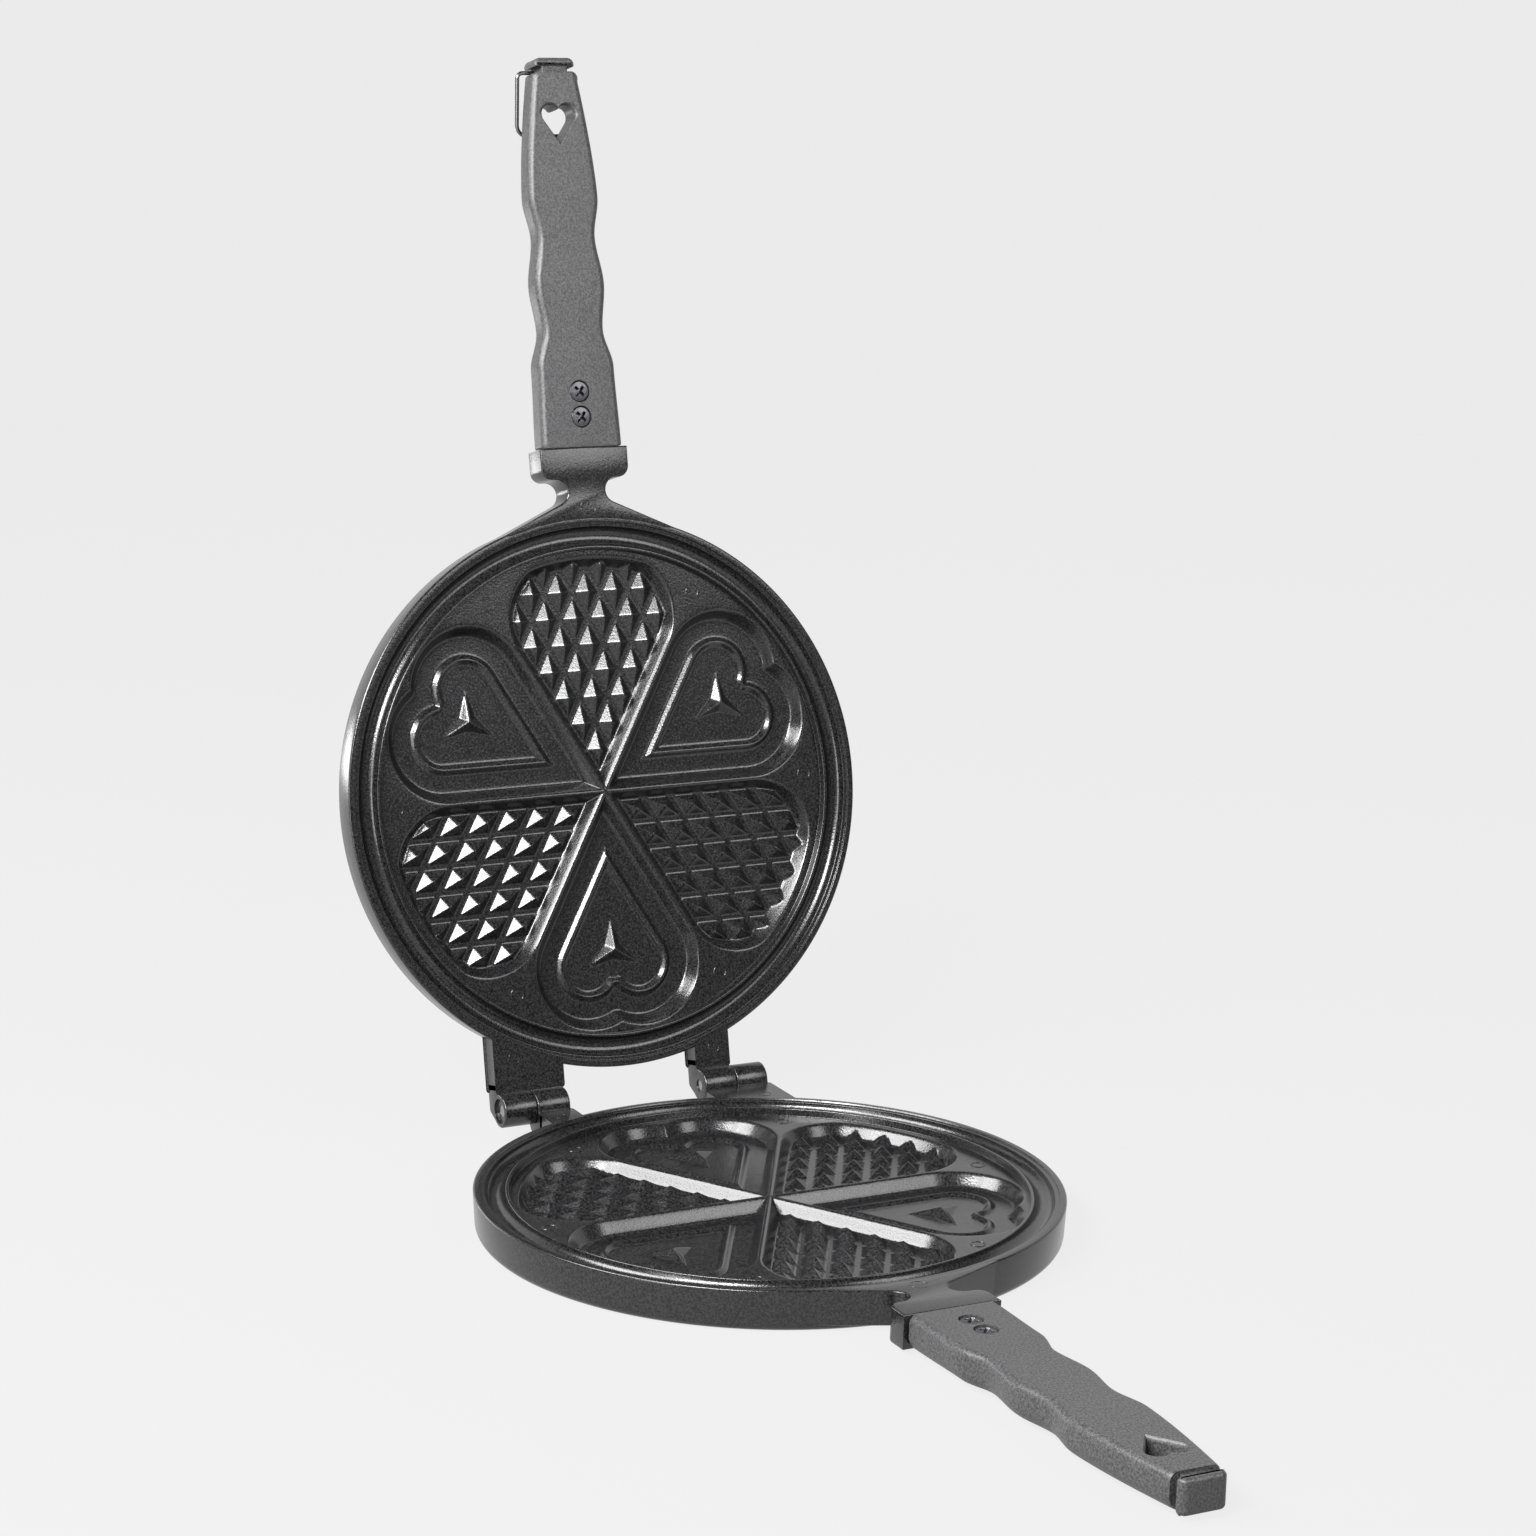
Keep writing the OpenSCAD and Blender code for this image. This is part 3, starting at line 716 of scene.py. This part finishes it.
def finishes(tints):
    """One finish for each real material; the CAD nodes that stay visible take theirs here too.
    Real coating and filler are finer than 0.7 mm, which is as coarse as the grain has to be drawn
    to show in the render."""
    # Near black with sharp highlights that sparkle a little, as a sprayed non-stick coating
    # does on a casting
    surface("nonstick_coated_aluminium", tints.cast, 0.2, grain=0.17, grain_mm=0.7,
            spread=0.03, mottle=0.95, shine=0.6)
    # Mid grey and speckled from grain to grain, with the duller skin of a filled moulding
    surface("moulded_phenolic", tints.phenolic, 0.42, grain=0.2, grain_mm=0.7,
            spread=0.04, mottle=0.5)
    # Dark metal that still catches a hard glint on the recess edges
    surface("blackened_steel", tints.screw, 0.34, metallic=1.0, grain=0.2, grain_mm=0.8)
    # Bright thin lines at the hinge ends
    surface("steel_pin", tints.pin, 0.3, metallic=1.0, grain=0.1, grain_mm=0.3)
    # A thin dark line with one bright side, as drawn wire has
    surface("steel_wire", tints.wire, 0.25, metallic=1.0)
    kind = {"pan": "nonstick_coated_aluminium", "handle": "moulded_phenolic",
            "screw": "blackened_steel", "pin": "steel_pin", "bail": "steel_wire"}
    for name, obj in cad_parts.items():
        obj.data.materials.clear()
        obj.data.materials.append(bpy.data.materials[kind[name.split("_")[-1]]])


class WAFFLE_OT_finishes(bpy.types.Operator):
    """Makes the materials and gives the CAD nodes theirs"""

    bl_idname = "waffle.finishes"
    bl_label = "Finishes"

    def execute(self, context):
        finishes(context.scene.waffle_colours)
        return {"FINISHED"}


class WAFFLE_OT_pans(bpy.types.Operator):
    """Builds both cast pans: cooking faces, turned rims, tangs and lugs"""

    bl_idname = "waffle.pans"
    bl_label = "Pans"

    def execute(self, context):
        pans = context.scene.waffle_pans
        m = bpy.data.materials["nonstick_coated_aluminium"]
        face, rim, neck = cooking_face(pans), turned(pans), tang(pans)
        wide, narrow, outer, inner, heel = lugs(pans)
        pressed, running = pin_bores()
        for body, side, move in HALVES:
            made = [make(side + "_cooking_face", move([face]), m, 0),
                    make(side + "_ejector_marks", move(marks()), m),
                    make(side + "_rim_and_skirt", move([rim]), m),
                    make(side + "_tang", move([neck]), m),
                    make(side + "_lug_plates", move([wide, narrow]), m),
                    cut(make(side + "_outer_knuckle", move([outer]), m), move(pressed)),
                    cut(make(side + "_inner_knuckle", move([inner]), m), move(running)),
                    cut(make(side + "_stop_heel", move([heel]), m), move(running))]
            for obj in made:
                seat(obj, body, "cast", side + "_pan")
        return {"FINISHED"}


class WAFFLE_OT_handles(bpy.types.Operator):
    """Builds both moulded handles with hanging holes and screw seats"""

    bl_idname = "waffle.handles"
    bl_label = "Handles"

    def execute(self, context):
        m = bpy.data.materials["moulded_phenolic"]
        main_part = grip(context.scene.waffle_fittings)
        neck, cap = handle_ends()
        for body, side, move in HALVES:
            made = [cut(make(side + "_grip", move([main_part]), m), move(handle_cutters())),
                    make(side + "_neck", move([neck]), m),
                    make(side + "_cap", move([cap]), m)]
            for obj in made:
                seat(obj, body, "phenolic", side + "_handle")
        return {"FINISHED"}


class WAFFLE_OT_screws(bpy.types.Operator):
    """Builds the four cross-recess screw heads"""

    bl_idname = "waffle.screws"
    bl_label = "Screws"

    def execute(self, context):
        fit = context.scene.waffle_fittings
        m = bpy.data.materials["blackened_steel"]
        for body, side, move in HALVES:
            for which, y in SCREWS:
                name = side + "_" + which + "_screw"
                seat(make(name + "_head", move([screw(y, fit)]), m), body, "screw_steel", name)
        return {"FINISHED"}


class WAFFLE_OT_bail(bpy.types.Operator):
    """Builds the wire bail"""

    bl_idname = "waffle.bail"
    bl_label = "Bail"

    def execute(self, context):
        wire = both([tube(bail_path(), mm(context.scene.waffle_fittings.wire) / 2)])
        m = bpy.data.materials["steel_wire"]
        seat(make("bail_wire", wire, m), "bail", "wire_steel", "wire_bail")
        return {"FINISHED"}


def area_light(name, place, target, wide, tall, watts):
    """Soft box at place, turned to its target. Places and sizes are in metres."""
    data = bpy.data.lights.new(name, "AREA")
    data.shape, data.size, data.size_y, data.energy = "RECTANGLE", wide, tall, watts
    obj = bpy.data.objects.new(name, data)
    bpy.context.scene.collection.objects.link(obj)
    z = np.array(place, float) - np.array(target, float)
    z /= np.linalg.norm(z)
    x = np.cross([0, 0, 1], z)
    x /= np.linalg.norm(x)
    y = np.cross(z, x)
    obj.matrix_world = Matrix([[x[i], y[i], z[i], place[i]] for i in range(3)] + [[0, 0, 0, 1]])
    return obj


def camera(stage):
    """Camera on a line from its target at the stage's azimuth and elevation, then rolled."""
    target = np.array([0.02598, 0.05892, 0.14412])
    az, el = stage.azimuth, stage.elevation
    d = np.array([math.sin(az) * math.cos(el), -math.cos(az) * math.cos(el), math.sin(el)])
    right = np.cross(-d, [0, 0, 1])
    right /= np.linalg.norm(right)
    up = np.cross(right, -d)
    c, s = math.cos(stage.roll), math.sin(stage.roll)
    right, up = right * c + up * s, up * c - right * s
    place = target + stage.distance * d
    cam = bpy.data.objects.new("camera", bpy.data.cameras.new("camera"))
    bpy.context.scene.collection.objects.link(cam)
    cam.data.lens, cam.data.sensor_width = stage.lens, 36.0
    cam.data.dof.use_dof = False
    cam.data.clip_start, cam.data.clip_end = 0.05, 30.0
    rows = [[right[i], up[i], d[i], place[i]] for i in range(3)]
    cam.matrix_world = Matrix(rows + [[0, 0, 0, 1]])
    return cam


def backdrop(stage, paper):
    """Floor that runs into a quarter circle and a wall behind the object, turned to face the
    camera. Its profile is drawn in metres."""
    front, bend_at, bend, top, half_width = -16.0, 2.0, 1.2, 4.0, 10.0
    t = np.linspace(0, math.pi / 2, 24)
    y = np.concatenate([[front], bend_at + bend * np.sin(t), [bend_at + bend]])
    z = np.concatenate([[0.0], bend - bend * np.cos(t), [top]])
    x = np.array([-half_width, half_width])
    pts = np.stack([np.repeat(x, len(y)), np.tile(y, 2), np.tile(z, 2)], 1)
    pts = spin(pts, math.degrees(stage.azimuth)) * 1000
    return make("floor", [(pts, grid_faces(2, len(y)), [])], paper, 0)


class WAFFLE_OT_stage(bpy.types.Operator):
    """Places the camera, the floor and the lights"""

    bl_idname = "waffle.stage"
    bl_label = "Stage"

    def execute(self, context):
        scene = context.scene
        stage = scene.waffle_stage
        scene.camera = camera(stage)
        # Plain pale paper lit from within, so that floor and background stay one even tone
        paper = surface("pale_paper", colour("#2A2A2A"), 0.9, shine=0.0)
        glow = paper.node_tree.nodes["Principled BSDF"].inputs
        glow["Emission Color"].default_value = colour("#FFFFFF")
        glow["Emission Strength"].default_value = stage.glow
        floor = backdrop(stage, paper)
        floor.visible_diffuse = False
        # The left boxes stand where the left faces of studs, beads and walls mirror them to
        # the camera
        area_light("front_left", (-0.86, -0.70, 0.90), (0, 0.1, 0.14), 0.6, 0.34, stage.key * 1.3)
        area_light("middle_left", (-0.95, -0.24, 0.97), (0, 0.1, 0.1), 0.6, 0.4, stage.key * 0.5)
        area_light("left", (-0.94, 0.25, 0.88), (0, 0, 0.02), 0.52, 0.5, stage.key * 0.6)
        area_light("low_left", (-1.2, -0.52, 0.3), (0, 0.08, 0.2), 0.35, 0.8, stage.key * 0.3)
        area_light("front_right", (0.62, -1.2, 0.88), (0, 0.12, 0.2), 0.8, 0.5, stage.fill)
        area_light("high_right", (0.62, -0.77, 1.0), (0, 0, 0), 0.5, 0.32, stage.fill * 0.4)
        area_light("rim", (-0.46, 0.85, 0.07), (-0.05, 0.1, 0.07), 0.5, 0.12, stage.rim)
        world = bpy.data.worlds.new("studio")
        scene.world = world
        world.use_nodes = True
        world.node_tree.nodes["Background"].inputs["Color"].default_value = colour("#FFFFFF")
        world.node_tree.nodes["Background"].inputs["Strength"].default_value = stage.sky
        scene.view_settings.view_transform = "Standard"
        return {"FINISHED"}


class WAFFLE_PT_panel(bpy.types.Panel):
    """Settings and one button for each group of pieces"""

    bl_idname = "WAFFLE_PT_panel"
    bl_label = "Waffle iron"
    bl_space_type = "VIEW_3D"
    bl_region_type = "UI"
    bl_category = "Waffle iron"

    def draw(self, context):
        for key, group in GROUPS.items():
            for name in group.__annotations__:
                self.layout.prop(getattr(context.scene, key), name)
        for op in OPERATORS:
            self.layout.operator(op.bl_idname)


GROUPS = {"waffle_pans": WaffleIronPans, "waffle_fittings": WaffleIronFittings,
          "waffle_colours": WaffleIronColours, "waffle_stage": WaffleIronStage}
OPERATORS = (WAFFLE_OT_finishes, WAFFLE_OT_pans, WAFFLE_OT_handles, WAFFLE_OT_screws,
             WAFFLE_OT_bail, WAFFLE_OT_stage)


def register():
    for cls in (*GROUPS.values(), *OPERATORS, WAFFLE_PT_panel):
        bpy.utils.register_class(cls)
    for key, cls in GROUPS.items():
        setattr(bpy.types.Scene, key, bpy.props.PointerProperty(type=cls))


def unregister():
    for key in GROUPS:
        delattr(bpy.types.Scene, key)
    for cls in (WAFFLE_PT_panel, *OPERATORS[::-1], *list(GROUPS.values())[::-1]):
        bpy.utils.unregister_class(cls)


def main():
    """Builds everything in order."""
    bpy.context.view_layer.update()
    register()
    for op in OPERATORS:
        getattr(bpy.ops.waffle, op.bl_idname.split(".")[1])()


if __name__ == "__main__":
    main()
